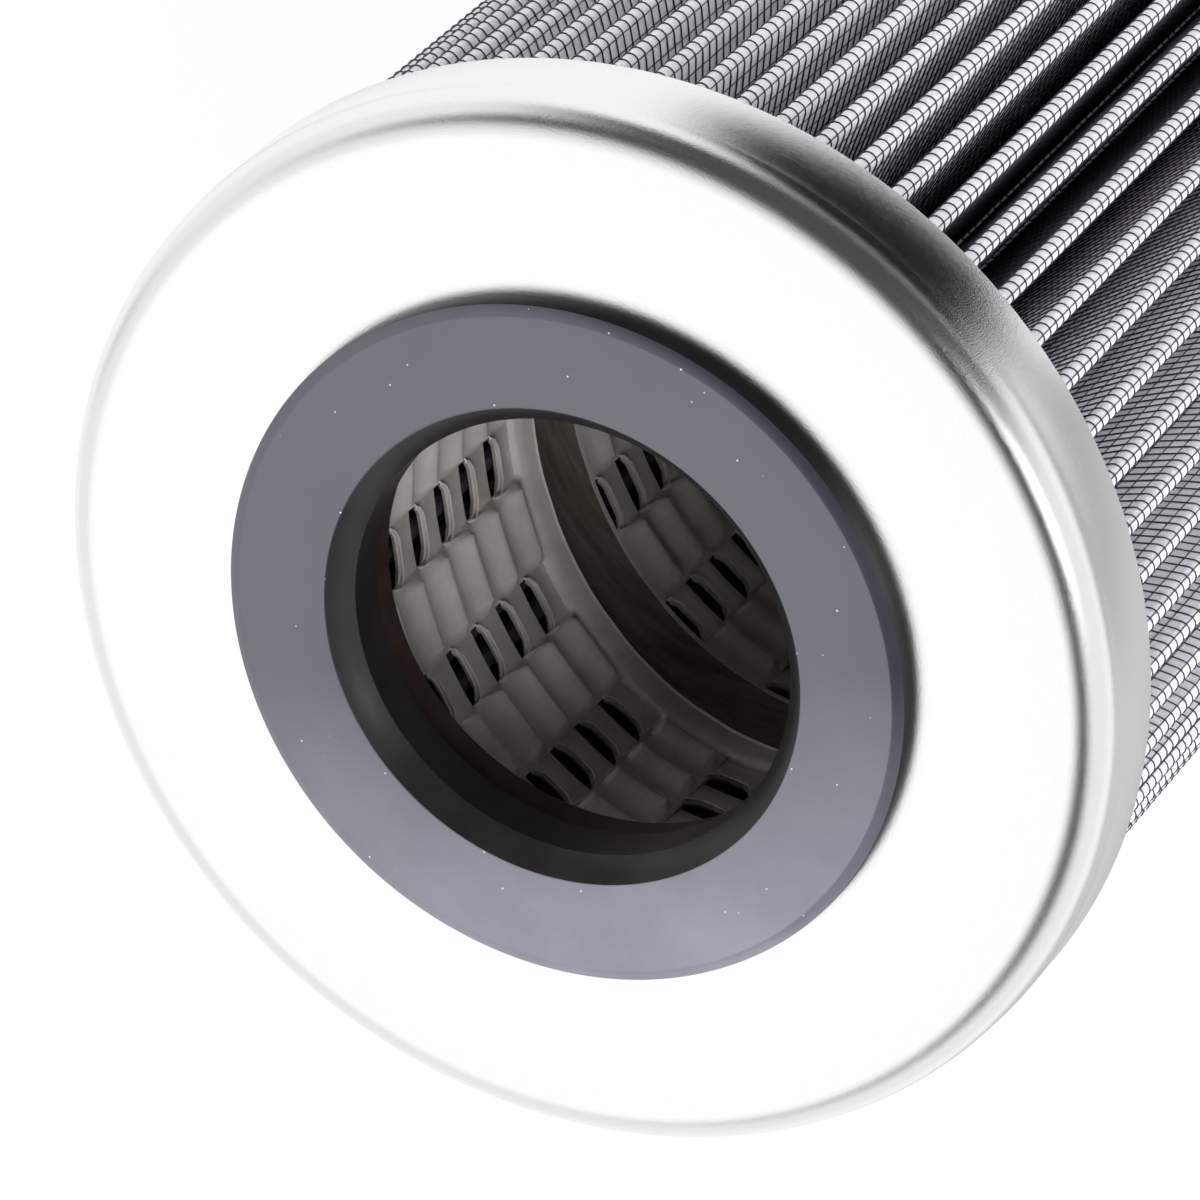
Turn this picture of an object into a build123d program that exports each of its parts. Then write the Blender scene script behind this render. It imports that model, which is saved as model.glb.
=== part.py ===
from build123d import *
from math import atan2, ceil, cos, degrees, pi, radians, sin, sqrt
import os

# Pleated filter element, standing on its closed end.
# Origin: centre of the closed end cap's outer face. +Z: along the element, towards the gasket.
# The +Y side carries the seam of the pleat pack.

# Driving dimensions, millimetres and degrees

# Whole element
body_length = 125.0  # outer face to outer face of the end caps

# End caps, pressed from sheet
cap_radius = 47.75
cap_sheet = 0.8
cap_edge_radius = 3.1
cap_skirt_height = 10.3
cap_crease_depth = 3.9  # from the cap's face down to the die line
cap_crease_step = 0.12

# Collar turned down round the open end's hole
collar_bore_radius = 21.0
collar_depth = 8.7
collar_bend_radius = 1.2

# Gasket
gasket_radius = 30.8
gasket_stand = 2.0
gasket_edge_chamfer = 0.9
gasket_edge_drop = 0.45
gasket_bore_radius = 19.9
gasket_mouth_radius = 21.7
gasket_mouth_depth = 2.1
gasket_neck_depth = 4.4
gasket_neck_clearance = 0.1

# Centre tube, wound from a strip of slotted sheet
tube_bore_radius = 29.5
tube_wall = 0.7
strip_lead = 58.0  # rise of the strip in one turn
slot_rows = 9  # across the strip
slot_row_pitch = 5.07
slot_column_pitch = 12.5  # round the bore
slot_length = 5.0
slot_short_side = 3.0
slot_opening = 2.1
first_column_angle = 81.9
first_column_height = 125.8  # straight edge of that column's top slot
slot_end_margin = 4.0  # plain wall kept at each end of the tube

# Pleat pack, layers from the outside in
pleat_count = 68
crest_radius = 45.6
fold_gap_radius = 0.075  # radius left in the closed side of a fold
fold_bends = 4  # the cloth bends at its wires, so a fold has a few bends with flats between
tube_to_pack = 0.3
outer_cloth_thickness = 0.22
outer_scrim_thickness = 0.06
medium_thickness = 0.24
inner_scrim_thickness = 0.06
inner_cloth_thickness = 0.22
drift_angle = 1.93  # how far the pleats bunch up, either way
drift_waves = 3
drift_start = 5.8
seam_pleat_angle = 92.5

# Seam clip
clip_sheet = 0.4
clip_clearance = 0.1
clip_depth = 7.0

# Adhesive beds that hold the pleat ends
bed_depth = 2.6
bed_clearance = 0.1

# Values that follow from them

lower_inside = cap_sheet
upper_inside = body_length - cap_sheet
cap_bore_radius = cap_radius - cap_sheet
cap_bore_edge_radius = cap_edge_radius - cap_sheet
shoulder_radius = cap_radius - cap_crease_step
shoulder_bore_radius = shoulder_radius - cap_sheet
crease_end = cap_crease_depth + cap_crease_step
gasket_neck_radius = collar_bore_radius - gasket_neck_clearance
gasket_face = body_length + gasket_stand
tube_radius = tube_bore_radius + tube_wall
pack_lower = lower_inside + bed_depth
pack_upper = upper_inside - bed_depth

layers = [
    ("outer_support_mesh", outer_cloth_thickness),
    ("outer_scrim", outer_scrim_thickness),
    ("filter_medium", medium_thickness),
    ("inner_scrim", inner_scrim_thickness),
    ("inner_support_mesh", inner_cloth_thickness),
]
pack_thickness = sum(thickness for name, thickness in layers)
fold_radius = fold_gap_radius + pack_thickness
crest_centre_radius = crest_radius - fold_radius
root_centre_radius = tube_radius + tube_to_pack + fold_radius


def crest_angle(place):
    # Angle of a pleat's crest; place is a whole number, or half of one for the root beside it
    even = seam_pleat_angle + 360 * place / pleat_count
    drift = drift_angle * sin(radians(drift_waves * (even + drift_start)))
    return even + drift


def at(radius, angle):
    return Vector(radius * cos(radians(angle)), radius * sin(radians(angle)))


def leg_normal(crest, root, side):
    # Unit normal of the straight leg that touches the crest's fold and the root's fold;
    # side is 1 for the leg after the crest and -1 for the leg before it
    span = root - crest
    apart = fold_radius + fold_gap_radius
    share = apart / span.length
    across = Vector(span.Y, -span.X) * side
    return (span * share + across * sqrt(1 - share**2)) / span.length


def fold(centre, start, end, radius):
    # Corners of a fold round its centre, from one leg's normal to the next leg's
    turn = start.get_signed_angle(end, Vector(0, 0, 1))
    step = turn / fold_bends
    reach = radius / cos(radians(step / 2))
    corners = [start.rotate(Axis.Z, step * (bend + 0.5)) * reach for bend in range(fold_bends)]
    return [centre + corner for corner in corners]


def fold_outline(depth):
    # Closed outline of the folded pack, a given depth below its outer surface
    crest_bend = fold_radius - depth
    root_bend = fold_gap_radius + depth
    corners = []
    for pleat in range(pleat_count):
        crest = at(crest_centre_radius, crest_angle(pleat))
        root_before = at(root_centre_radius, crest_angle(pleat - 0.5))
        root_after = at(root_centre_radius, crest_angle(pleat + 0.5))
        next_crest = at(crest_centre_radius, crest_angle(pleat + 1))
        rising = leg_normal(crest, root_before, -1)
        falling = leg_normal(crest, root_after, 1)
        next_rising = leg_normal(next_crest, root_after, -1)
        corners += fold(crest, rising, falling, crest_bend)
        corners += fold(root_after, -falling, -next_rising, root_bend)
    return Polyline(*corners, close=True)


# Closed end cap
with BuildPart() as bottom_end_cap:
    with BuildSketch(Plane.XZ):
        with BuildLine():
            FilletPolyline(
                (0, 0),
                (shoulder_radius, 0),
                (shoulder_radius, cap_crease_depth),
                (cap_radius, crease_end),
                (cap_radius, cap_skirt_height),
                (cap_bore_radius, cap_skirt_height),
                (cap_bore_radius, crease_end),
                (shoulder_bore_radius, cap_crease_depth),
                (shoulder_bore_radius, lower_inside),
                (0, lower_inside),
                radius=[0, cap_edge_radius, 0, 0, 0, 0, 0, 0, cap_bore_edge_radius, 0],
                close=True,
            )
        make_face()
    revolve(axis=Axis.Z)
bottom_end_cap.part.label = "bottom_end_cap"

# Open end cap, with its collar
with BuildPart() as top_end_cap:
    with BuildSketch(Plane.XZ):
        with BuildLine():
            FilletPolyline(
                (collar_bore_radius, body_length),
                (collar_bore_radius, body_length - collar_depth),
                (collar_bore_radius + cap_sheet, body_length - collar_depth),
                (collar_bore_radius + cap_sheet, upper_inside),
                (shoulder_bore_radius, upper_inside),
                (shoulder_bore_radius, body_length - cap_crease_depth),
                (cap_bore_radius, body_length - crease_end),
                (cap_bore_radius, body_length - cap_skirt_height),
                (cap_radius, body_length - cap_skirt_height),
                (cap_radius, body_length - crease_end),
                (shoulder_radius, body_length - cap_crease_depth),
                (shoulder_radius, body_length),
                radius=[collar_bend_radius, 0, 0, collar_bend_radius - cap_sheet, cap_bore_edge_radius]
                + [0] * 6
                + [cap_edge_radius],
                close=True,
            )
        make_face()
    revolve(axis=Axis.Z)
top_end_cap.part.label = "top_end_cap"

# Gasket, with its neck down in the collar and its shoulder clear of the collar's bend
with BuildPart() as gasket:
    with BuildSketch(Plane.XZ):
        with BuildLine():
            FilletPolyline(
                (gasket_bore_radius, gasket_face - gasket_mouth_depth),
                (gasket_bore_radius, body_length - gasket_neck_depth),
                (gasket_neck_radius, body_length - gasket_neck_depth),
                (gasket_neck_radius, body_length),
                (gasket_radius, body_length),
                (gasket_radius, gasket_face - gasket_edge_drop),
                (gasket_radius - gasket_edge_chamfer, gasket_face),
                (gasket_mouth_radius, gasket_face),
                radius=[0, 0, 0, collar_bend_radius + gasket_neck_clearance, 0, 0, 0, 0],
                close=True,
            )
        make_face()
    revolve(axis=Axis.Z)
gasket.part.label = "gasket"

# Centre tube: slot rows follow the strip, and the slots of a column stand one above another
strip_rise = atan2(strip_lead, 2 * pi * tube_bore_radius)
column_step = degrees(slot_column_pitch / tube_bore_radius)
columns_each_way = ceil(body_length / strip_lead + 1) * ceil(360 / column_step)
lowest_slot = lower_inside + slot_end_margin + slot_opening
highest_slot = upper_inside - slot_end_margin
slot_places = []
for column in range(-columns_each_way, columns_each_way):
    turned = column * column_step
    outward = at(1, first_column_angle + turned)
    along = at(1, first_column_angle + turned + 90) * cos(strip_rise) + Vector(0, 0, sin(strip_rise))
    for row in range(slot_rows):
        height = first_column_height + strip_lead * turned / 360 - row * slot_row_pitch
        if lowest_slot < height < highest_slot:
            start = outward * (tube_bore_radius - tube_wall) + Vector(0, 0, height)
            slot_places.append(Plane(start, along, outward))

with BuildPart() as slot_cutter:
    with BuildSketch():
        with BuildLine():
            Polyline(
                (-slot_length / 2, 0),
                (slot_length / 2, 0),
                (slot_short_side / 2, -slot_opening),
                (-slot_short_side / 2, -slot_opening),
                close=True,
            )
        make_face()
    extrude(amount=3 * tube_wall)

with BuildPart() as centre_tube:
    with BuildSketch(Plane.XY.offset(lower_inside)):
        Circle(tube_radius)
        Circle(tube_bore_radius, mode=Mode.SUBTRACT)
    extrude(amount=upper_inside - lower_inside)
    with Locations(*slot_places):
        add(slot_cutter.part, mode=Mode.SUBTRACT, clean=False)
centre_tube.part.label = "centre_tube"

# Folded layers, each on the one inside it
pleated_layers = []
outer_edges = fold_outline(0)
depth = 0
for name, thickness in layers:
    depth += thickness
    inner_edges = fold_outline(depth)
    with BuildPart() as pleated_layer:
        with BuildSketch(Plane.XY.offset(pack_lower)):
            make_face(outer_edges)
            make_face(inner_edges, mode=Mode.SUBTRACT)
        extrude(amount=pack_upper - pack_lower)
    pleated_layer.part.label = name
    pleated_layers.append(pleated_layer)
    outer_edges = inner_edges

# Seam clip, a channel folded over the pleat where the pack's two ends meet
seam_crest = at(crest_centre_radius, crest_angle(0))
seam_rising = leg_normal(seam_crest, at(root_centre_radius, crest_angle(-0.5)), -1)
seam_falling = leg_normal(seam_crest, at(root_centre_radius, crest_angle(0.5)), 1)
clip_bore_bend = fold_radius + clip_clearance
clip_bend = clip_bore_bend + clip_sheet
rising_leg = seam_rising.rotate(Axis.Z, -90) * clip_depth
falling_leg = seam_falling.rotate(Axis.Z, 90) * clip_depth
outward = seam_crest.normalized()
with BuildPart() as pleat_seam_clip:
    with BuildSketch(Plane.XY.offset(pack_lower)):
        with BuildLine():
            Polyline(
                seam_crest + seam_rising * clip_bend,
                seam_crest + seam_rising * clip_bend + rising_leg,
                seam_crest + seam_rising * clip_bore_bend + rising_leg,
                seam_crest + seam_rising * clip_bore_bend,
            )
            ThreePointArc(
                seam_crest + seam_rising * clip_bore_bend,
                seam_crest + outward * clip_bore_bend,
                seam_crest + seam_falling * clip_bore_bend,
            )
            Polyline(
                seam_crest + seam_falling * clip_bore_bend,
                seam_crest + seam_falling * clip_bore_bend + falling_leg,
                seam_crest + seam_falling * clip_bend + falling_leg,
                seam_crest + seam_falling * clip_bend,
            )
            ThreePointArc(
                seam_crest + seam_falling * clip_bend,
                seam_crest + outward * clip_bend,
                seam_crest + seam_rising * clip_bend,
            )
        make_face()
    extrude(amount=pack_upper - pack_lower)
pleat_seam_clip.part.label = "pleat_seam_clip"

# Adhesive beds, between the tube and the skirts
bed_bore_radius = tube_radius + bed_clearance
bed_radius = shoulder_bore_radius - bed_clearance
with BuildPart() as bottom_potting:
    with BuildSketch(Plane.XZ):
        with BuildLine():
            FilletPolyline(
                (bed_bore_radius, lower_inside),
                (bed_radius, lower_inside),
                (bed_radius, pack_lower),
                (bed_bore_radius, pack_lower),
                radius=[0, cap_bore_edge_radius, 0, 0],
                close=True,
            )
        make_face()
    revolve(axis=Axis.Z)
bottom_potting.part.label = "bottom_potting"

with BuildPart() as top_potting:
    with BuildSketch(Plane.XZ):
        with BuildLine():
            FilletPolyline(
                (bed_bore_radius, upper_inside),
                (bed_radius, upper_inside),
                (bed_radius, pack_upper),
                (bed_bore_radius, pack_upper),
                radius=[0, cap_bore_edge_radius, 0, 0],
                close=True,
            )
        make_face()
    revolve(axis=Axis.Z)
top_potting.part.label = "top_potting"

finished = [bottom_end_cap, top_end_cap, gasket, centre_tube, pleat_seam_clip, bottom_potting, top_potting]
os.makedirs("parts", exist_ok=True)
for piece in finished + pleated_layers:
    export_step(piece.part, f"parts/{piece.part.label}.step")
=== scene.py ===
import math

import bpy
from mathutils import Matrix, Vector


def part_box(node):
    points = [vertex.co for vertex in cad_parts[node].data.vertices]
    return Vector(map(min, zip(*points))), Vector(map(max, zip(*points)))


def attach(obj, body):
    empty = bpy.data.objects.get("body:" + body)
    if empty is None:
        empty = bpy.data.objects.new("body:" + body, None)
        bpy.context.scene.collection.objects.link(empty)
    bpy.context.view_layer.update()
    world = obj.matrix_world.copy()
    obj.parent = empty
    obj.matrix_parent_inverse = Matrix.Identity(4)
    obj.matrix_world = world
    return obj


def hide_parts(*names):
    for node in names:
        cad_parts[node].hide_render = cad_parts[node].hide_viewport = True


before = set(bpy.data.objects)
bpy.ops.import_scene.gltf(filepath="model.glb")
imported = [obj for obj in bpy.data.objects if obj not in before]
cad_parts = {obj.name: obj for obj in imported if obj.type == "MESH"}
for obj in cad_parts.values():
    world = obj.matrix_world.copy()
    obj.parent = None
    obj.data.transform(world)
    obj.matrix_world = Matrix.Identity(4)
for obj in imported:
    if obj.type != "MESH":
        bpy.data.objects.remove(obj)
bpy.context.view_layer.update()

mm = 0.001


# small helpers

def pickOnly(piece):
    if bpy.context.object and bpy.context.object.mode != "OBJECT":
        bpy.ops.object.mode_set(mode="OBJECT")
    bpy.ops.object.select_all(action="DESELECT")
    piece.select_set(True)
    bpy.context.view_layer.objects.active = piece


def bend(centre, radius, start, end, steps):
    # points of an arc in a turned section, angles in degrees from the outward direction
    points = []
    for step in range(steps + 1):
        angle = math.radians(start + (end - start) * step / steps)
        points.append((centre[0] + radius * math.cos(angle), centre[1] + radius * math.sin(angle)))
    return points


def turned(name, section, segments=288):
    # a ring is extruded from one point of the section to the next, and sized there
    bpy.ops.object.select_all(action="DESELECT")
    radius, height = section[0]
    bpy.ops.mesh.primitive_circle_add(vertices=segments, radius=radius, location=(0, 0, 0))
    piece = bpy.context.object
    piece.name = name
    bpy.ops.object.mode_set(mode="EDIT")
    bpy.ops.mesh.select_all(action="SELECT")
    bpy.ops.transform.translate(value=(0, 0, height))
    for nextRadius, nextHeight in section[1:] + section[:1]:
        bpy.ops.mesh.extrude_edges_move(TRANSFORM_OT_translate={"value": (0, 0, nextHeight - height)})
        grow = nextRadius / radius
        bpy.ops.transform.resize(value=(grow, grow, 1), center_override=(0, 0, nextHeight))
        radius, height = nextRadius, nextHeight
    bpy.ops.mesh.select_all(action="SELECT")
    bpy.ops.mesh.remove_doubles(threshold=0.001 * mm)  # closes the ring where it began
    bpy.ops.mesh.normals_make_consistent(inside=False)
    bpy.ops.object.mode_set(mode="OBJECT")
    bpy.ops.object.shade_smooth_by_angle(angle=math.radians(35))
    return piece


def newMaterial(name, roughness, metallic=0.0):
    material = bpy.data.materials.new(name)
    material.use_nodes = True
    shader = material.node_tree.nodes["Principled BSDF"]
    shader.inputs["Roughness"].default_value = roughness
    shader.inputs["Metallic"].default_value = metallic
    return material, shader


def addNode(material, kind, **settings):
    node = material.node_tree.nodes.new(kind)
    for key, value in settings.items():
        setattr(node, key, value)
    return node


def join(material, source, target):
    material.node_tree.links.new(source, target)


def objectPlace(material, scale=(1, 1, 1)):
    place = addNode(material, "ShaderNodeTexCoord")
    mapping = addNode(material, "ShaderNodeMapping")
    mapping.inputs["Scale"].default_value = scale
    join(material, place.outputs["Object"], mapping.inputs["Vector"])
    return mapping.outputs["Vector"]


def grain(material, place, size, detail=2.0, roughness=0.5):
    # noise whose spots are about size across, in metres
    noise = addNode(material, "ShaderNodeTexNoise")
    noise.inputs["Scale"].default_value = 1 / size
    noise.inputs["Detail"].default_value = detail
    noise.inputs["Roughness"].default_value = roughness
    join(material, place, noise.inputs["Vector"])
    return noise.outputs["Fac"]


def ramp(material, source, stops):
    # stops are (position, colour)
    node = addNode(material, "ShaderNodeValToRGB")
    while len(node.color_ramp.elements) < len(stops):
        node.color_ramp.elements.new(0.5)
    for element, (position, colour) in zip(node.color_ramp.elements, stops):
        element.position = position
        element.color = (*colour, 1) if hasattr(colour, "__len__") else (colour, colour, colour, 1)
    join(material, source, node.inputs["Fac"])
    return node.outputs["Color"]


def spread(material, source, low, high, fromLow=0.0, fromHigh=1.0):
    node = addNode(material, "ShaderNodeMapRange")
    node.inputs["From Min"].default_value = fromLow
    node.inputs["From Max"].default_value = fromHigh
    node.inputs["To Min"].default_value = low
    node.inputs["To Max"].default_value = high
    join(material, source, node.inputs["Value"])
    return node.outputs["Result"]


def roughen(material, shader, height, distance, strength=1.0):
    # small bumps, distance high
    node = addNode(material, "ShaderNodeBump")
    node.inputs["Distance"].default_value = distance
    node.inputs["Strength"].default_value = strength
    join(material, height, node.inputs["Height"])
    join(material, node.outputs["Normal"], shader.inputs["Normal"])


def dress(piece, material):
    piece.data.materials.clear()
    piece.data.materials.append(material)


def finish(piece, material, slot, *nodes):
    # with no material given, the piece keeps what it has
    if material:
        dress(piece, material)
    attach(piece, "root")
    if nodes:
        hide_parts(*nodes)


# camera, at the -Y side above the gasket, rolled so that the element lies to the upper right

photoCamera = {
    "aim": (0.60 * mm, -4.27 * mm, 123.93 * mm),
    "distance": 698.85 * mm,
    "elevation": 54.30,
    "roll": -134.39,
    "lens": 252.96,
    "sensor": 36.0,
}


def placeCamera(setup):
    camera = bpy.data.objects.new("camera", bpy.data.cameras.new("camera"))
    bpy.context.scene.collection.objects.link(camera)
    camera.data.lens = setup["lens"]
    camera.data.sensor_width = setup["sensor"]
    camera.data.clip_start = 0.01
    tilt = Matrix.Rotation(math.radians(90 - setup["elevation"]), 4, "X")
    roll = Matrix.Rotation(math.radians(setup["roll"]), 4, "Z")
    back = Matrix.Translation((0, 0, setup["distance"]))
    camera.matrix_world = Matrix.Translation(setup["aim"]) @ tilt @ roll @ back
    bpy.context.scene.camera = camera


placeCamera(photoCamera)
print("camera placed")


# floor and light

studio = {
    "floorSize": 6.0,
    "floorColour": (0.93, 0.93, 0.93),
    "floorGlow": 0.97,
    "skyBright": 1.10,
    "skyDark": 0.09,
    "skyCentre": (0.22, 0.58, 0.785),
    "skyEdge": (0.62, 0.90),
    "flagHeight": 1,
    "cardGap": 2,
}
# the boxes show in the bright metal, the fills only light
lamps = {
    "overheadBox": {"azimuth": 90, "elevation": 55, "distance": 0.95, "size": (0.75, 0.6), "power": 0.36},
    "sideFill": {"azimuth": -135, "elevation": 42, "distance": 0.85, "size": (0.7, 0.4), "power": 1.6},
    "leftFill": {"azimuth": -165, "elevation": 22, "distance": 1.0, "size": (0.7, 0.5), "power": 3.6},
    "glintBox": {"azimuth": -132, "elevation": 42, "distance": 0.8, "size": (0.1, 0.1), "power": 0.4},
    "boreFill": {"azimuth": -140, "elevation": 61, "distance": 0.8, "size": (0.3, 0.3), "power": 6.4},
    "rightFill": {"azimuth": -15, "elevation": 25, "distance": 1.0, "size": (0.7, 0.5), "power": 3.5},
}
# pale cards stand at the sides and the back, and darker ones lie on the floor in front and at the left;
# they are not in the picture and throw no shade, and only show in glossy surfaces (millimetres)
standingCards = {
    "sideCard": {"azimuth": -147, "distance": 600, "width": 840, "height": 800, "shade": 0.9},
    "leftCard": {"azimuth": 148, "distance": 600, "width": 840, "height": 460, "shade": 0.9},
    "backCard": {"azimuth": 83, "distance": 600, "width": 840, "height": 460, "shade": 0.9},
    "rightCard": {"azimuth": 9, "distance": 600, "width": 840, "height": 460, "shade": 0.9},
}
floorCards = {
    "blackFlag": {"nearY": -86, "nearX": (-18, 96), "farY": -1500, "farX": (-430, 900), "shade": 0.02},
    "greyFlag": {"nearY": -66, "nearX": (-200, -38), "farY": -150, "farX": (-200, -38), "shade": 0.46},
    "paleFlag": {"nearY": 120, "nearX": (-200, -38), "farY": -66, "farX": (-200, -38), "shade": 0.64},
}


def layFloor(setup):
    bpy.ops.object.select_all(action="DESELECT")
    bpy.ops.mesh.primitive_plane_add(size=setup["floorSize"], location=(0, 0, 0))
    floor = bpy.context.object
    floor.name = "floor"
    material = bpy.data.materials.new("floorPaper")
    material.use_nodes = True
    material.node_tree.nodes.clear()
    paper = addNode(material, "ShaderNodeBsdfDiffuse")
    paper.inputs["Color"].default_value = (*setup["floorColour"], 1)
    # a white background for the camera and for what the metal shows, with some of the shadow left
    glow = addNode(material, "ShaderNodeEmission")
    glow.inputs["Strength"].default_value = 1.0
    rays = addNode(material, "ShaderNodeLightPath")
    seen = rays.outputs["Is Camera Ray"]
    for kind in ("Is Glossy Ray", "Is Transmission Ray"):
        either = addNode(material, "ShaderNodeMath", operation="MAXIMUM")
        join(material, seen, either.inputs[0])
        join(material, rays.outputs[kind], either.inputs[1])
        seen = either.outputs[0]
    share = addNode(material, "ShaderNodeMath", operation="MULTIPLY")
    share.inputs[1].default_value = setup["floorGlow"]
    join(material, seen, share.inputs[0])
    mix = addNode(material, "ShaderNodeMixShader")
    join(material, share.outputs[0], mix.inputs["Fac"])
    join(material, paper.outputs[0], mix.inputs[1])
    join(material, glow.outputs[0], mix.inputs[2])
    output = addNode(material, "ShaderNodeOutputMaterial")
    join(material, mix.outputs[0], output.inputs["Surface"])
    dress(floor, material)


def layCard(name, setup):
    bpy.ops.object.select_all(action="DESELECT")
    bpy.ops.mesh.primitive_plane_add(size=1, location=(0, 0, 0))
    card = bpy.context.object
    for vertex in card.data.vertices:
        edge = "near" if vertex.co.y > 0 else "far"
        across = setup[edge + "X"][vertex.co.x > 0]
        vertex.co = Vector((across, setup[edge + "Y"], studio["flagHeight"])) * mm
    shadeCard(card, name, setup["shade"])


def standCard(name, setup):
    bpy.ops.object.select_all(action="DESELECT")
    bpy.ops.mesh.primitive_plane_add(size=1, location=(0, 0, 0))
    card = bpy.context.object
    turn = Matrix.Rotation(math.radians(setup["azimuth"]), 3, "Z")
    for vertex in card.data.vertices:
        across = vertex.co.x * setup["width"]
        up = (vertex.co.y + 0.5) * setup["height"] + studio["cardGap"]
        vertex.co = turn @ Vector((setup["distance"], across, up)) * mm
    shadeCard(card, name, setup["shade"])


def shadeCard(card, name, shade):
    card.name = name
    material = bpy.data.materials.new(name)
    material.use_nodes = True
    material.node_tree.nodes.clear()
    tone = addNode(material, "ShaderNodeEmission")
    tone.inputs["Strength"].default_value = shade
    output = addNode(material, "ShaderNodeOutputMaterial")
    join(material, tone.outputs[0], output.inputs["Surface"])
    dress(card, material)
    card.visible_camera = False
    card.visible_diffuse = False
    card.visible_shadow = False


def lightWorld(setup):
    # a pale sky above and behind the element, darker towards the horizon and the camera's side
    world = bpy.data.worlds.new("studio")
    bpy.context.scene.world = world
    world.use_nodes = True
    nodes = world.node_tree.nodes
    links = world.node_tree.links
    nodes.clear()
    place = nodes.new("ShaderNodeTexCoord")
    side = nodes.new("ShaderNodeVectorMath")
    side.operation = "DOT_PRODUCT"
    side.inputs[1].default_value = Vector(setup["skyCentre"]).normalized()
    links.new(place.outputs["Generated"], side.inputs[0])
    level = nodes.new("ShaderNodeMapRange")
    level.interpolation_type = "SMOOTHSTEP"
    level.inputs["From Min"].default_value, level.inputs["From Max"].default_value = setup["skyEdge"]
    level.inputs["To Min"].default_value = setup["skyDark"]
    level.inputs["To Max"].default_value = setup["skyBright"]
    links.new(side.outputs["Value"], level.inputs["Value"])
    light = nodes.new("ShaderNodeBackground")
    links.new(level.outputs["Result"], light.inputs["Strength"])
    output = nodes.new("ShaderNodeOutputWorld")
    links.new(light.outputs[0], output.inputs["Surface"])


def hangLamp(name, setup, target=(0, 0, 110 * mm)):
    lamp = bpy.data.lights.new(name, "AREA")
    lamp.shape = "RECTANGLE"
    lamp.size, lamp.size_y = setup["size"]
    lamp.energy = setup["power"]
    holder = bpy.data.objects.new(name, lamp)
    bpy.context.scene.collection.objects.link(holder)
    turn, rise = math.radians(setup["azimuth"]), math.radians(setup["elevation"])
    away = Vector((math.cos(turn) * math.cos(rise), math.sin(turn) * math.cos(rise), math.sin(rise)))
    holder.location = Vector(target) + away * setup["distance"]
    holder.rotation_euler = away.to_track_quat("Z", "Y").to_euler()
    holder.visible_camera = False
    holder.visible_glossy = name.endswith("Box")


layFloor(studio)
for cardName, cardSetup in floorCards.items():
    layCard(cardName, cardSetup)
for cardName, cardSetup in standingCards.items():
    standCard(cardName, cardSetup)
lightWorld(studio)
for lampName, lampSetup in lamps.items():
    hangLamp(lampName, lampSetup)
print("floor and light placed")


# finishes

def zincPlate():
    material, shader = newMaterial("zincPlate", 0.2, 1.0)
    place = objectPlace(material)
    speckle = grain(material, place, 0.15 * mm, 3.0, 0.7)
    join(material, ramp(material, speckle, [(0.35, (0.86, 0.88, 0.875)), (0.65, (0.92, 0.94, 0.935))]),
         shader.inputs["Base Color"])
    join(material, spread(material, speckle, 0.11, 0.22, 0.35, 0.65), shader.inputs["Roughness"])
    roughen(material, shader, speckle, 0.022 * mm, 1.0)
    return material


def gasketRubber():
    material, shader = newMaterial("gasketRubber", 0.32)
    place = objectPlace(material)
    cloud = grain(material, place, 9 * mm, 3.0, 0.6)
    black = ramp(material, cloud, [(0.3, (0.012, 0.013, 0.020)), (0.7, (0.018, 0.019, 0.028))])
    # a pale sheen is painted in blotches on one side of the face, and dust lies all over it
    side = addNode(material, "ShaderNodeVectorMath", operation="DOT_PRODUCT")
    side.inputs[1].default_value = (-0.78, 0.62, 0)
    join(material, place, side.inputs[0])
    paintedSheen = spread(material, side.outputs["Value"], 0.0, 1.0, 2 * mm, 30 * mm)
    sheenPatch = addNode(material, "ShaderNodeMath", operation="MULTIPLY")
    join(material, paintedSheen, sheenPatch.inputs[0])
    sheenBlotches = grain(material, place, 14 * mm, 4.0, 0.6)
    join(material, spread(material, sheenBlotches, 0.55, 1.0, 0.3, 0.7), sheenPatch.inputs[1])
    # the painted sheen is mixed into the rubber's colour here
    withPaintedSheen = addNode(material, "ShaderNodeMix", data_type="RGBA")
    withPaintedSheen.inputs["B"].default_value = (0.17, 0.175, 0.21, 1)
    join(material, black, withPaintedSheen.inputs["A"])
    join(material, sheenPatch.outputs[0], withPaintedSheen.inputs["Factor"])
    dust = addNode(material, "ShaderNodeTexVoronoi")
    dust.inputs["Scale"].default_value = 1 / (2.1 * mm)
    join(material, place, dust.inputs["Vector"])
    dusted = addNode(material, "ShaderNodeMix", data_type="RGBA")
    dusted.inputs["B"].default_value = (0.55, 0.54, 0.52, 1)
    join(material, withPaintedSheen.outputs["Result"], dusted.inputs["A"])
    join(material, spread(material, dust.outputs["Distance"], 1.0, 0.0, 0.03, 0.05), dusted.inputs["Factor"])
    join(material, dusted.outputs["Result"], shader.inputs["Base Color"])
    shader.inputs["Specular IOR Level"].default_value = 1.0
    shader.inputs["Specular Tint"].default_value = (0.72, 0.75, 1.0, 1)
    shader.inputs["Coat Weight"].default_value = 0.9
    shader.inputs["Coat Roughness"].default_value = 0.20
    shader.inputs["Coat IOR"].default_value = 1.9
    roughen(material, shader, grain(material, place, 0.25 * mm, 2.0), 0.003 * mm, 0.5)
    return material


def mouldedRubber():
    # the gasket's sides and bore, duller than its face
    material, shader = newMaterial("mouldedRubber", 0.34)
    place = objectPlace(material)
    cloud = grain(material, place, 5 * mm, 3.0, 0.6)
    join(material, ramp(material, cloud, [(0.3, (0.008, 0.007, 0.007)), (0.7, (0.014, 0.013, 0.014))]),
         shader.inputs["Base Color"])
    shader.inputs["Specular IOR Level"].default_value = 0.4
    return material


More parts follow.
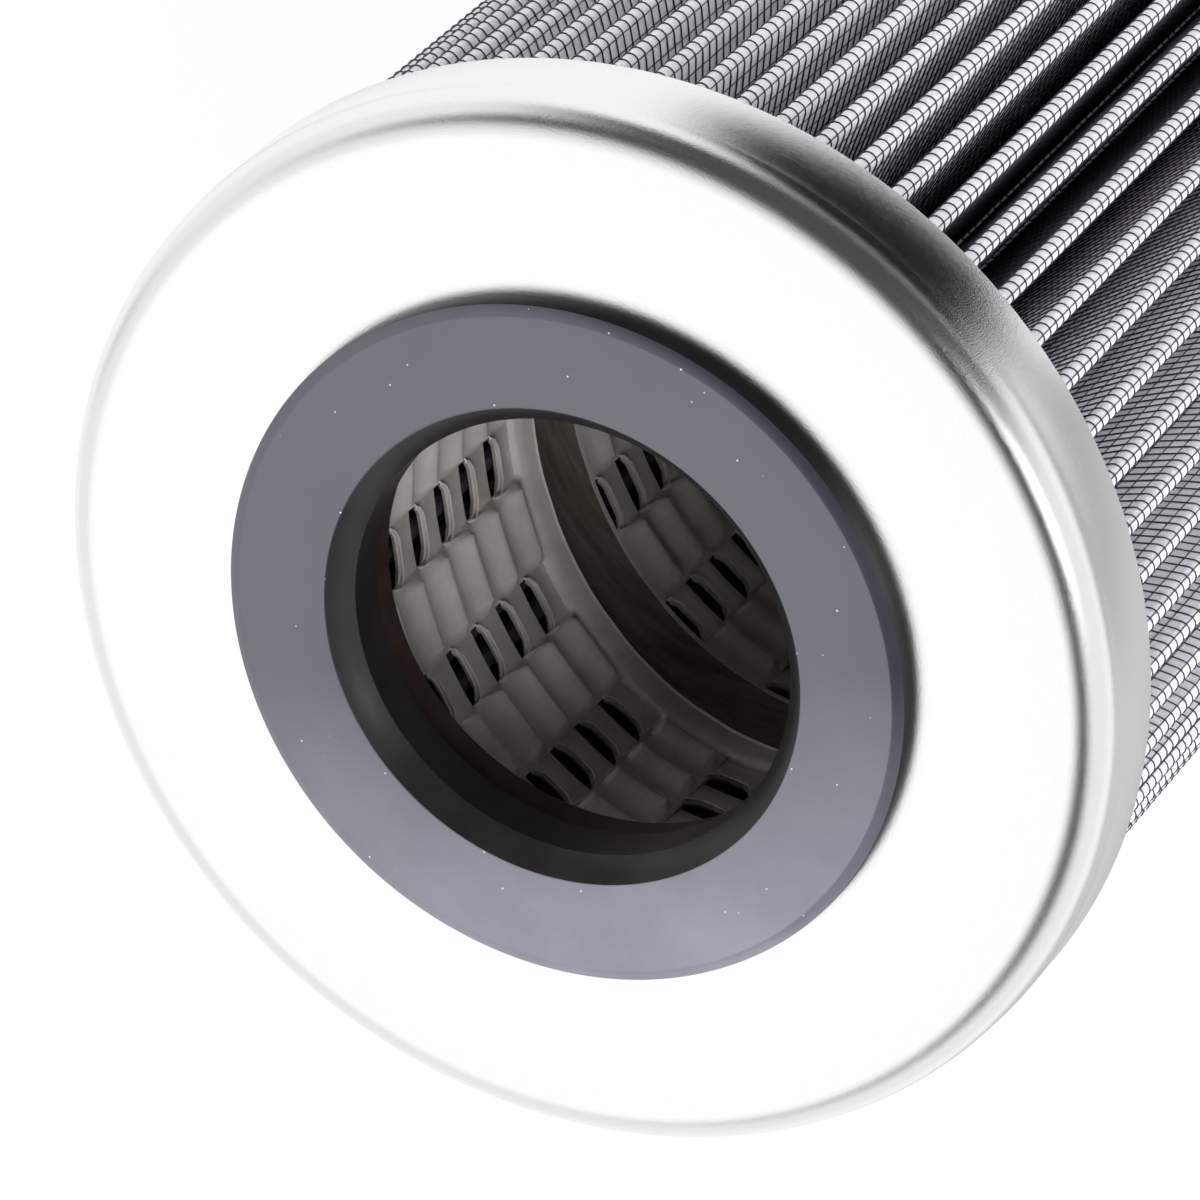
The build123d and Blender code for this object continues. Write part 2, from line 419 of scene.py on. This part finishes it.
def nearBlackCollar():
    # near black, dark brown in clouds, for the inside of the top cap's collar
    material, shader = newMaterial("nearBlackCollar", 0.45)
    place = objectPlace(material)
    collarMottle = grain(material, place, 2.5 * mm, 3.0, 0.6)
    join(material, ramp(material, collarMottle, [(0.3, (0.012, 0.007, 0.006)), (0.7, (0.024, 0.015, 0.013))]),
         shader.inputs["Base Color"])
    return material


def wireCoat():
    material, shader = newMaterial("wireCoat", 0.38)
    place = objectPlace(material)
    cloud = grain(material, place, 0.6 * mm)
    join(material, ramp(material, cloud, [(0.3, (0.020, 0.020, 0.024)), (0.7, (0.045, 0.045, 0.050))]),
         shader.inputs["Base Color"])
    return material


def whiteFleece():
    material, shader = newMaterial("whiteFleece", 0.85)
    place = objectPlace(material)
    fibre = grain(material, place, 0.12 * mm, 4.0, 0.7)
    join(material, ramp(material, fibre, [(0.3, (0.74, 0.74, 0.80)), (0.7, (0.90, 0.90, 0.94))]),
         shader.inputs["Base Color"])
    roughen(material, shader, fibre, 0.02 * mm, 0.5)
    return material


def stripSteel():
    material, shader = newMaterial("stripSteel", 0.3, 0.5)
    place = objectPlace(material)
    cloud = grain(material, place, 3 * mm, 3.0, 0.6)
    join(material, ramp(material, cloud, [(0.3, (0.56, 0.535, 0.515)), (0.7, (0.68, 0.655, 0.635))]),
         shader.inputs["Base Color"])
    fine = grain(material, place, 0.12 * mm, 2.0)
    join(material, spread(material, fine, 0.29, 0.33, 0.3, 0.7), shader.inputs["Roughness"])
    return material


def recessDarkSteel():
    # the recessed part of the lapped seam's band is made dark, in streaks along the strip
    material, shader = newMaterial("recessDarkSteel", 0.42, 0.6)
    place = objectPlace(material, (1, 1, 6))
    streak = grain(material, place, 6 * mm, 4.0, 0.65)
    join(material, ramp(material, streak, [(0.3, (0.15, 0.12, 0.10)), (0.7, (0.27, 0.24, 0.21))]),
         shader.inputs["Base Color"])
    return material


def curedAdhesive():
    material, shader = newMaterial("curedAdhesive", 0.4)
    place = objectPlace(material)
    cloud = grain(material, place, 4 * mm, 3.0)
    join(material, ramp(material, cloud, [(0.3, (0.42, 0.37, 0.25)), (0.7, (0.56, 0.50, 0.36))]),
         shader.inputs["Base Color"])
    return material


zinc = zincPlate()
rubber = gasketRubber()
blackRubber = mouldedRubber()
collarBlack = nearBlackCollar()
wire = wireCoat()
fleece = whiteFleece()
steel = stripSteel()
darkSteel = recessDarkSteel()
adhesive = curedAdhesive()

for nodeName, material in (
    ("filter_medium", fleece),
    ("inner_scrim", fleece),
    ("inner_support_mesh", wire),
    ("pleat_seam_clip", steel),
    ("bottom_potting", adhesive),
    ("top_potting", adhesive),
):
    dress(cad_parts[nodeName], material)
print("finishes made")


# end caps: pressed sheet, turned from one section each

cap = {
    "radius": 47.75 * mm,
    "sheet": 0.8 * mm,
    "edgeRadius": 3.1 * mm,
    "skirtHeight": 10.3 * mm,
    "creaseDepth": 3.9 * mm,
    "creaseStep": 0.12 * mm,
    "creaseRun": 0.6 * mm,
    "collarBore": 21.0 * mm,
    "collarDepth": 8.7 * mm,
    "collarBend": 1.2 * mm,
    "rimRounding": 0.18 * mm,
    "collarBlackStep": 0.16 * mm,
    "centreGap": 0.02 * mm,
}
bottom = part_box("bottom_end_cap")[0].z
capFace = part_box("top_end_cap")[1].z


def skirtSection(setup, face, down):
    # from the flat face round the edge, down the skirt and back up inside; down is -1 or 1
    shoulder = setup["radius"] - setup["creaseStep"]
    crease = face + down * setup["creaseDepth"]
    creaseEnd = crease + down * setup["creaseRun"]
    rim = face + down * setup["skirtHeight"]
    inside = setup["radius"] - setup["sheet"]
    edge = (shoulder - setup["edgeRadius"], face + down * setup["edgeRadius"])
    rounding = setup["rimRounding"]
    outer = bend(edge, setup["edgeRadius"], -down * 90, 0, 14)
    outer += [(shoulder, crease), (setup["radius"], creaseEnd)]
    outer += bend((setup["radius"] - rounding, rim - down * rounding), rounding, 0, down * 90, 4)
    inner = bend((inside + rounding, rim - down * rounding), rounding, down * 90, down * 180, 4)
    inner += [(inside, creaseEnd), (shoulder - setup["sheet"], crease)]
    inner += bend(edge, setup["edgeRadius"] - setup["sheet"], 0, -down * 90, 8)
    return outer + inner


topSection = skirtSection(cap, capFace, -1)
collarEdge = (cap["collarBore"] + cap["collarBend"], capFace - cap["collarBend"])
collarRim = capFace - cap["collarDepth"]
topSection += bend(collarEdge, cap["collarBend"] - cap["sheet"], 90, 180, 5)
topSection += [(cap["collarBore"] + cap["sheet"], collarRim), (cap["collarBore"], collarRim)]
topSection += bend(collarEdge, cap["collarBend"], 180, 90, 6)
topCap = turned("top_cap_pressing", topSection)
finish(topCap, zinc, "zinc_plate", "top_end_cap")
topCap.data.materials.append(collarBlack)
for face in topCap.data.polygons:
    # the collar's inside is made near black, dark brown in clouds
    inCollar = face.center.xy.length < cap["collarBore"] + cap["collarBlackStep"]
    face.material_index = int(inCollar and face.center.z < capFace - cap["collarBend"])

bottomSection = skirtSection(cap, bottom, 1)
bottomSection += [(cap["centreGap"], bottom + cap["sheet"]), (cap["centreGap"], bottom)]
bottomCap = turned("bottom_cap_pressing", bottomSection)
finish(bottomCap, zinc, "zinc_plate", "bottom_end_cap")
print("end caps made")


# gasket

seal = {
    "radius": 30.8 * mm,
    "stand": 2.0 * mm,
    "edgeChamfer": 0.9 * mm,
    "edgeDrop": 0.45 * mm,
    "bore": 19.9 * mm,
    "mouth": 21.7 * mm,
    "mouthDepth": 2.1 * mm,
    "neck": 20.9 * mm,
    "neckDepth": 4.4 * mm,
    "neckFlare": [(0.0, 1.3 * mm), (0.4 * mm, 0.4 * mm), (1.3 * mm, 0.0)],
    "rounding": 0.15 * mm,
    "groundSlope": 0.85,
}


def gasketSection(setup, seat):
    face = seat + setup["stand"]
    tip = seat - setup["neckDepth"]
    points = [
        (setup["radius"], seat),
        (setup["radius"], face - setup["edgeDrop"] - setup["rounding"]),
        (setup["radius"] - 0.3 * setup["rounding"], face - setup["edgeDrop"]),
        (setup["radius"] - setup["edgeChamfer"], face - 0.2 * setup["rounding"]),
        (setup["radius"] - setup["edgeChamfer"] - setup["rounding"], face),
        (setup["mouth"] + setup["rounding"], face),
        (setup["mouth"], face - 0.3 * setup["rounding"]),
        (setup["bore"], face - setup["mouthDepth"]),
        (setup["bore"], tip + setup["rounding"]),
        (setup["bore"] + setup["rounding"], tip),
        (setup["neck"], tip),
    ]
    return points + [(setup["neck"] + out, seat - down) for out, down in setup["neckFlare"]]


gasket = turned("gasket_ring", gasketSection(seal, capFace), segments=320)
finish(gasket, rubber, "gasket_rubber", "gasket")
gasket.data.materials.append(blackRubber)
for face in gasket.data.polygons:
    # only the face and its chamfer are ground and dusty, and carry the painted sheen
    face.material_index = int(face.normal.z < seal["groundSlope"])
print("gasket made")


# pleat pack: fleece and woven wire follow one folded outline

pleats = {
    "count": 68,
    "crestRadius": 45.6 * mm,
    "foldRadius": 0.875 * mm,
    "gapRadius": 0.075 * mm,
    "rootCentre": 31.375 * mm,
    "seamAngle": 92.5,
    "drift": 1.93,
    "driftWaves": 3,
    "driftStart": 5.8,
    "sheetThickness": 0.05 * mm,
}
packLow, packHigh = (corner.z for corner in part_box("outer_support_mesh"))


def crestAngle(place):
    # the pleats stand a little closer together in three places
    even = pleats["seamAngle"] + 360 * place / pleats["count"]
    wave = pleats["driftWaves"] * (even + pleats["driftStart"])
    return even + pleats["drift"] * math.sin(math.radians(wave))


def at(radius, angle):
    return Vector((radius * math.cos(math.radians(angle)), radius * math.sin(math.radians(angle)), 0))


def legNormal(crest, root, side):
    # which way a pleat's flat leg faces, between its crest's and its root's bend
    span = root - crest
    share = (pleats["foldRadius"] + pleats["gapRadius"]) / span.length
    across = Vector((span.y, -span.x, 0)) * side
    return (span * share + across * math.sqrt(1 - share ** 2)) / span.length


def fold(centre, start, end, radius, steps):
    # arc about centre from direction start to direction end, the short way round
    turn = start.xy.angle_signed(end.xy)
    turns = (-turn * step / steps for step in range(steps + 1))
    return [centre + Matrix.Rotation(angle, 3, "Z") @ start * radius for angle in turns]


def foldedOutline(depth, crestSteps, rootSteps):
    crestBend = pleats["foldRadius"] - depth
    rootBend = pleats["gapRadius"] + depth
    crestCentre = pleats["crestRadius"] - pleats["foldRadius"]
    points = []
    for pleat in range(pleats["count"]):
        crest = at(crestCentre, crestAngle(pleat))
        nextCrest = at(crestCentre, crestAngle(pleat + 1))
        rootBefore = at(pleats["rootCentre"], crestAngle(pleat - 0.5))
        root = at(pleats["rootCentre"], crestAngle(pleat + 0.5))
        rising = legNormal(crest, rootBefore, -1)
        falling = legNormal(crest, root, 1)
        nextRising = legNormal(nextCrest, root, -1)
        points += fold(crest, rising, falling, crestBend, crestSteps)
        points += fold(root, -falling, -nextRising, rootBend, rootSteps)
    return points


def foldedSheet(name, depth):
    # the outline is drawn as a curve, made a mesh and extruded to the pack's height
    points = foldedOutline(depth, 12, 4)
    curve = bpy.data.curves.new(name, "CURVE")
    curve.dimensions = "3D"
    spline = curve.splines.new("POLY")
    spline.points.add(len(points) - 1)
    for spot, point in zip(spline.points, points):
        spot.co = (point.x, point.y, packLow, 1)
    spline.use_cyclic_u = True
    sheet = bpy.data.objects.new(name, curve)
    bpy.context.scene.collection.objects.link(sheet)
    pickOnly(sheet)
    bpy.ops.object.convert(target="MESH")
    sheet = bpy.context.object
    bpy.ops.object.mode_set(mode="EDIT")
    bpy.ops.mesh.select_all(action="SELECT")
    bpy.ops.mesh.extrude_edges_move(TRANSFORM_OT_translate={"value": (0, 0, packHigh - packLow)})
    bpy.ops.mesh.select_all(action="SELECT")
    bpy.ops.mesh.normals_make_consistent(inside=False)
    bpy.ops.object.mode_set(mode="OBJECT")
    thick = sheet.modifiers.new("thick", "SOLIDIFY")
    thick.thickness = pleats["sheetThickness"]
    thick.offset = -1
    bpy.ops.object.modifier_apply(modifier="thick")
    bpy.ops.object.shade_smooth_by_angle(angle=math.radians(40))
    return sheet


cloth = {
    "pitch": 1.411 * mm,
    "hoopRadius": 0.075 * mm,
    "uprightRadius": 0.05 * mm,
    "hoopDepth": 0.075 * mm,
    "uprightDepth": 0.10 * mm,
    "fleeceDepth": 0.14 * mm,
    "bands": 3,
}


def wireCurve(name, radius):
    curve = bpy.data.curves.new(name, "CURVE")
    curve.dimensions = "3D"
    curve.bevel_depth = radius
    curve.bevel_resolution = 0
    curve.use_fill_caps = True
    return curve


def meshFrom(name, curve):
    piece = bpy.data.objects.new(name, curve)
    bpy.context.scene.collection.objects.link(piece)
    pickOnly(piece)
    bpy.ops.object.convert(target="MESH")
    bpy.ops.object.shade_smooth()
    return bpy.context.object


def hoopBands():
    # wires round the pack, in bands that stay under the triangle limit of a piece
    outline = foldedOutline(cloth["hoopDepth"], 6, 2)
    hoopCount = int((packHigh - packLow) / cloth["pitch"])
    perBand = math.ceil(hoopCount / cloth["bands"])
    bands = []
    for band in range(cloth["bands"]):
        name = f"outer_cloth_hoops_{band + 1}"
        count = min(perBand, hoopCount - band * perBand)
        curve = wireCurve(name, cloth["hoopRadius"])
        spline = curve.splines.new("POLY")
        spline.points.add(len(outline) - 1)
        height = packLow + cloth["pitch"] * (band * perBand + 0.5)
        for spot, point in zip(spline.points, outline):
            spot.co = (point.x, point.y, height, 1)
        spline.use_cyclic_u = True
        hoops = meshFrom(name, curve)
        row = hoops.modifiers.new("row", "ARRAY")
        row.use_relative_offset = False
        row.use_constant_offset = True
        row.constant_offset_displace = (0, 0, cloth["pitch"])
        row.count = count
        bpy.ops.object.modifier_apply(modifier="row")
        bands.append(hoops)
    return bands


def uprightWires():
    # wires along the element, one pitch apart round the outline
    outline = foldedOutline(cloth["uprightDepth"], 12, 3)
    curve = wireCurve("outer_cloth_uprights", cloth["uprightRadius"])
    left = 0.0
    for start, end in zip(outline, outline[1:] + outline[:1]):
        length = (end - start).length
        while left < length:
            spot = start.lerp(end, left / length)
            spline = curve.splines.new("POLY")
            spline.points.add(1)
            spline.points[0].co = (spot.x, spot.y, packLow, 1)
            spline.points[1].co = (spot.x, spot.y, packHigh, 1)
            left += cloth["pitch"]
        left -= length
    return meshFrom("outer_cloth_uprights", curve)


fleeceSheet = foldedSheet("outer_fleece", cloth["fleeceDepth"])
finish(fleeceSheet, fleece, "scrim", "outer_scrim")
for band in hoopBands():
    finish(band, wire, "wire_cloth", "outer_support_mesh")
uprights = uprightWires()
finish(uprights, wire, "wire_cloth", "outer_support_mesh")
print("pleat pack made")


# centre tube: one column of pads and slots is shaped, repeated along the strip, and wound

strip = {
    "bore": 29.5 * mm,
    "wall": 0.5 * mm,
    "lead": 58.0 * mm,
    "rows": 9,
    "rowPitch": 5.07 * mm,
    "columnPitch": 12.5 * mm,
    "slotHalf": 2.5 * mm,
    "slotOpening": 1.4 * mm,
    "firstAngle": 81.9,
    "firstHeight": 125.8 * mm,
    "padRise": 0.95 * mm,
    "padStart": 2.7 * mm,
    "padFull": 3.6 * mm,
    "knuckleAt": (3.15 * mm, 3.1 * mm),
    "knuckleSize": (0.35 * mm, 0.7 * mm),
    "knuckleRise": 0.42 * mm,
    "lastColumn": 16,
    "columns": 50,
}
tubeLow, tubeHigh = (corner.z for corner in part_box("centre_tube"))
# stations along one column, from the slot's centre, in millimetres
alongStations = [-2.5, -2.3, -1.5, 0, 1.5, 2.3, 2.5, 2.75, 3.0, 3.3, 3.7, 4.4,
                 8.1, 8.8, 9.2, 9.5, 9.75, 10.0]
# down one row of pads: distance in millimetres, and the share of the pad's height there
padProfile = [(0, -0.15), (1.2, 0.0), (1.9, 0.24), (2.6, 0.64),
              (3.2, 0.94), (3.5, 1.0), (3.8, 0.85), (4.5, 0.0)]
# down one slot: distance past the slot's lower edge, or past its upper edge, and height, in millimetres
slotProfile = [(0, -0.42), (0, 0.38), (0.12, 0.45), (0.26, 0.34),
               (0.42, 0.0), (3.0, -0.1), (4.2, -0.28), (4.9, -0.4)]
# the plain band below the rows: distance past the last row, and how far it stands in
seamBand = [(0, 0.0), (0.3, 0.25), (1.4, 0.5), (2.5, 0.74), (2.66, 0.6), (2.9, 0.8), (3.1, 0.6),
            (3.25, -0.1), (3.5, -0.4), (8.2, -0.48), (11.0, -0.4), (11.8, -0.1)]


def smooth(value, low, high):
    share = min(max((value - low) / (high - low), 0), 1)
    return share * share * (3 - 2 * share)


def stripPoint(along, row, station):
    # distance down the strip and how far the metal stands in, at one corner of the column's grid
    centred = abs(along)
    away = min(centred, strip["columnPitch"] - centred)
    down, share = padProfile[station]
    down *= mm
    rise = smooth(away, strip["padStart"], strip["padFull"]) * share * strip["padRise"]
    offCentre = [(value - centre) / size for value, centre, size
                 in zip((away, down), strip["knuckleAt"], strip["knuckleSize"])]
    rise += strip["knuckleRise"] * math.exp(-offCentre[0] ** 2 - offCentre[1] ** 2)
    if away <= strip["slotHalf"]:
        down, rise = (value * mm for value in slotProfile[station])
        if 0 < station < 5:
            down += strip["slotOpening"] * (1 - 0.8 * (away / strip["slotHalf"]) ** 4)
    return row * strip["rowPitch"] + down, rise


def makeStripColumn():
    # the openings are picked and cut in the plain grid's own order, which the shaping keeps
    rowsTall = strip["rows"] * len(padProfile)
    lines = rowsTall + len(seamBand)
    bpy.ops.object.select_all(action="DESELECT")
    bpy.ops.mesh.primitive_grid_add(x_subdivisions=len(alongStations) - 1, y_subdivisions=lines, size=1)
    column = bpy.context.object
    column.data.materials.append(steel)
    column.data.materials.append(darkSteel)
    across = len(alongStations) - 1
    bpy.ops.object.mode_set(mode="EDIT")
    bpy.ops.mesh.select_mode(type="FACE")
    bpy.ops.mesh.select_all(action="DESELECT")
    bpy.ops.object.mode_set(mode="OBJECT")
    for face in column.data.polygons:
        place = (face.center.x + 0.5) * across
        line = (face.center.y + 0.5) * lines
        overSlot = alongStations[math.ceil(place)] * mm <= strip["slotHalf"]
        face.select = overSlot and line < rowsTall and int(line) % len(padProfile) == 0
        # the seam band is made dark where it sits recessed
        face.material_index = int(seamBand[int(line) - rowsTall][1] < 0 if rowsTall < line < lines - 1 else 0)
    for vertex in column.data.vertices:
        place = round((vertex.co.x + 0.5) * across)
        line = round((vertex.co.y + 0.5) * lines)
        along = alongStations[place] * mm
        if line < rowsTall:
            down, rise = stripPoint(along, line // len(padProfile), line % len(padProfile))
        elif line < lines:
            down, rise = (value * mm for value in seamBand[line - rowsTall])
            down += strip["rows"] * strip["rowPitch"]
        else:
            down, rise = strip["lead"], 0
        vertex.co = (along, down, rise)
    bpy.ops.object.mode_set(mode="EDIT")
    bpy.ops.mesh.delete(type="FACE")
    bpy.ops.mesh.select_mode(type="VERT")
    bpy.ops.object.mode_set(mode="OBJECT")
    return column


def windStrip(name):
    piece = makeStripColumn()
    piece.name = name
    row = piece.modifiers.new("row", "ARRAY")
    row.use_relative_offset = False
    row.use_constant_offset = True
    row.constant_offset_displace = (strip["columnPitch"], 0, 0)
    row.count = strip["columns"]
    row.use_merge_vertices = True
    row.merge_threshold = 0.01 * mm
    bpy.ops.object.modifier_apply(modifier="row")
    start = (strip["lastColumn"] - strip["columns"]) * strip["columnPitch"]
    for vertex in piece.data.vertices:
        turn = (vertex.co.x + start) / strip["bore"]
        angle = math.radians(strip["firstAngle"]) + turn
        height = strip["firstHeight"] + strip["lead"] * turn / (2 * math.pi) - vertex.co.y
        radius = strip["bore"] - vertex.co.z
        vertex.co = (radius * math.cos(angle), radius * math.sin(angle), height)
    for height, normal in ((tubeLow, (0, 0, -1)), (tubeHigh, (0, 0, 1))):
        bpy.ops.object.mode_set(mode="EDIT")
        bpy.ops.mesh.select_all(action="SELECT")
        bpy.ops.mesh.bisect(plane_co=(0, 0, height), plane_no=normal, clear_outer=True)
        bpy.ops.object.mode_set(mode="OBJECT")
    wall = piece.modifiers.new("wall", "SOLIDIFY")
    wall.thickness = strip["wall"]
    wall.offset = -1
    bpy.ops.object.modifier_apply(modifier="wall")
    bpy.ops.object.shade_smooth_by_angle(angle=math.radians(50))
    return piece


tube = windStrip("louvred_tube")
finish(tube, None, "tube_steel", "centre_tube")
print("centre tube made")

bpy.context.scene.view_settings.view_transform = "Standard"
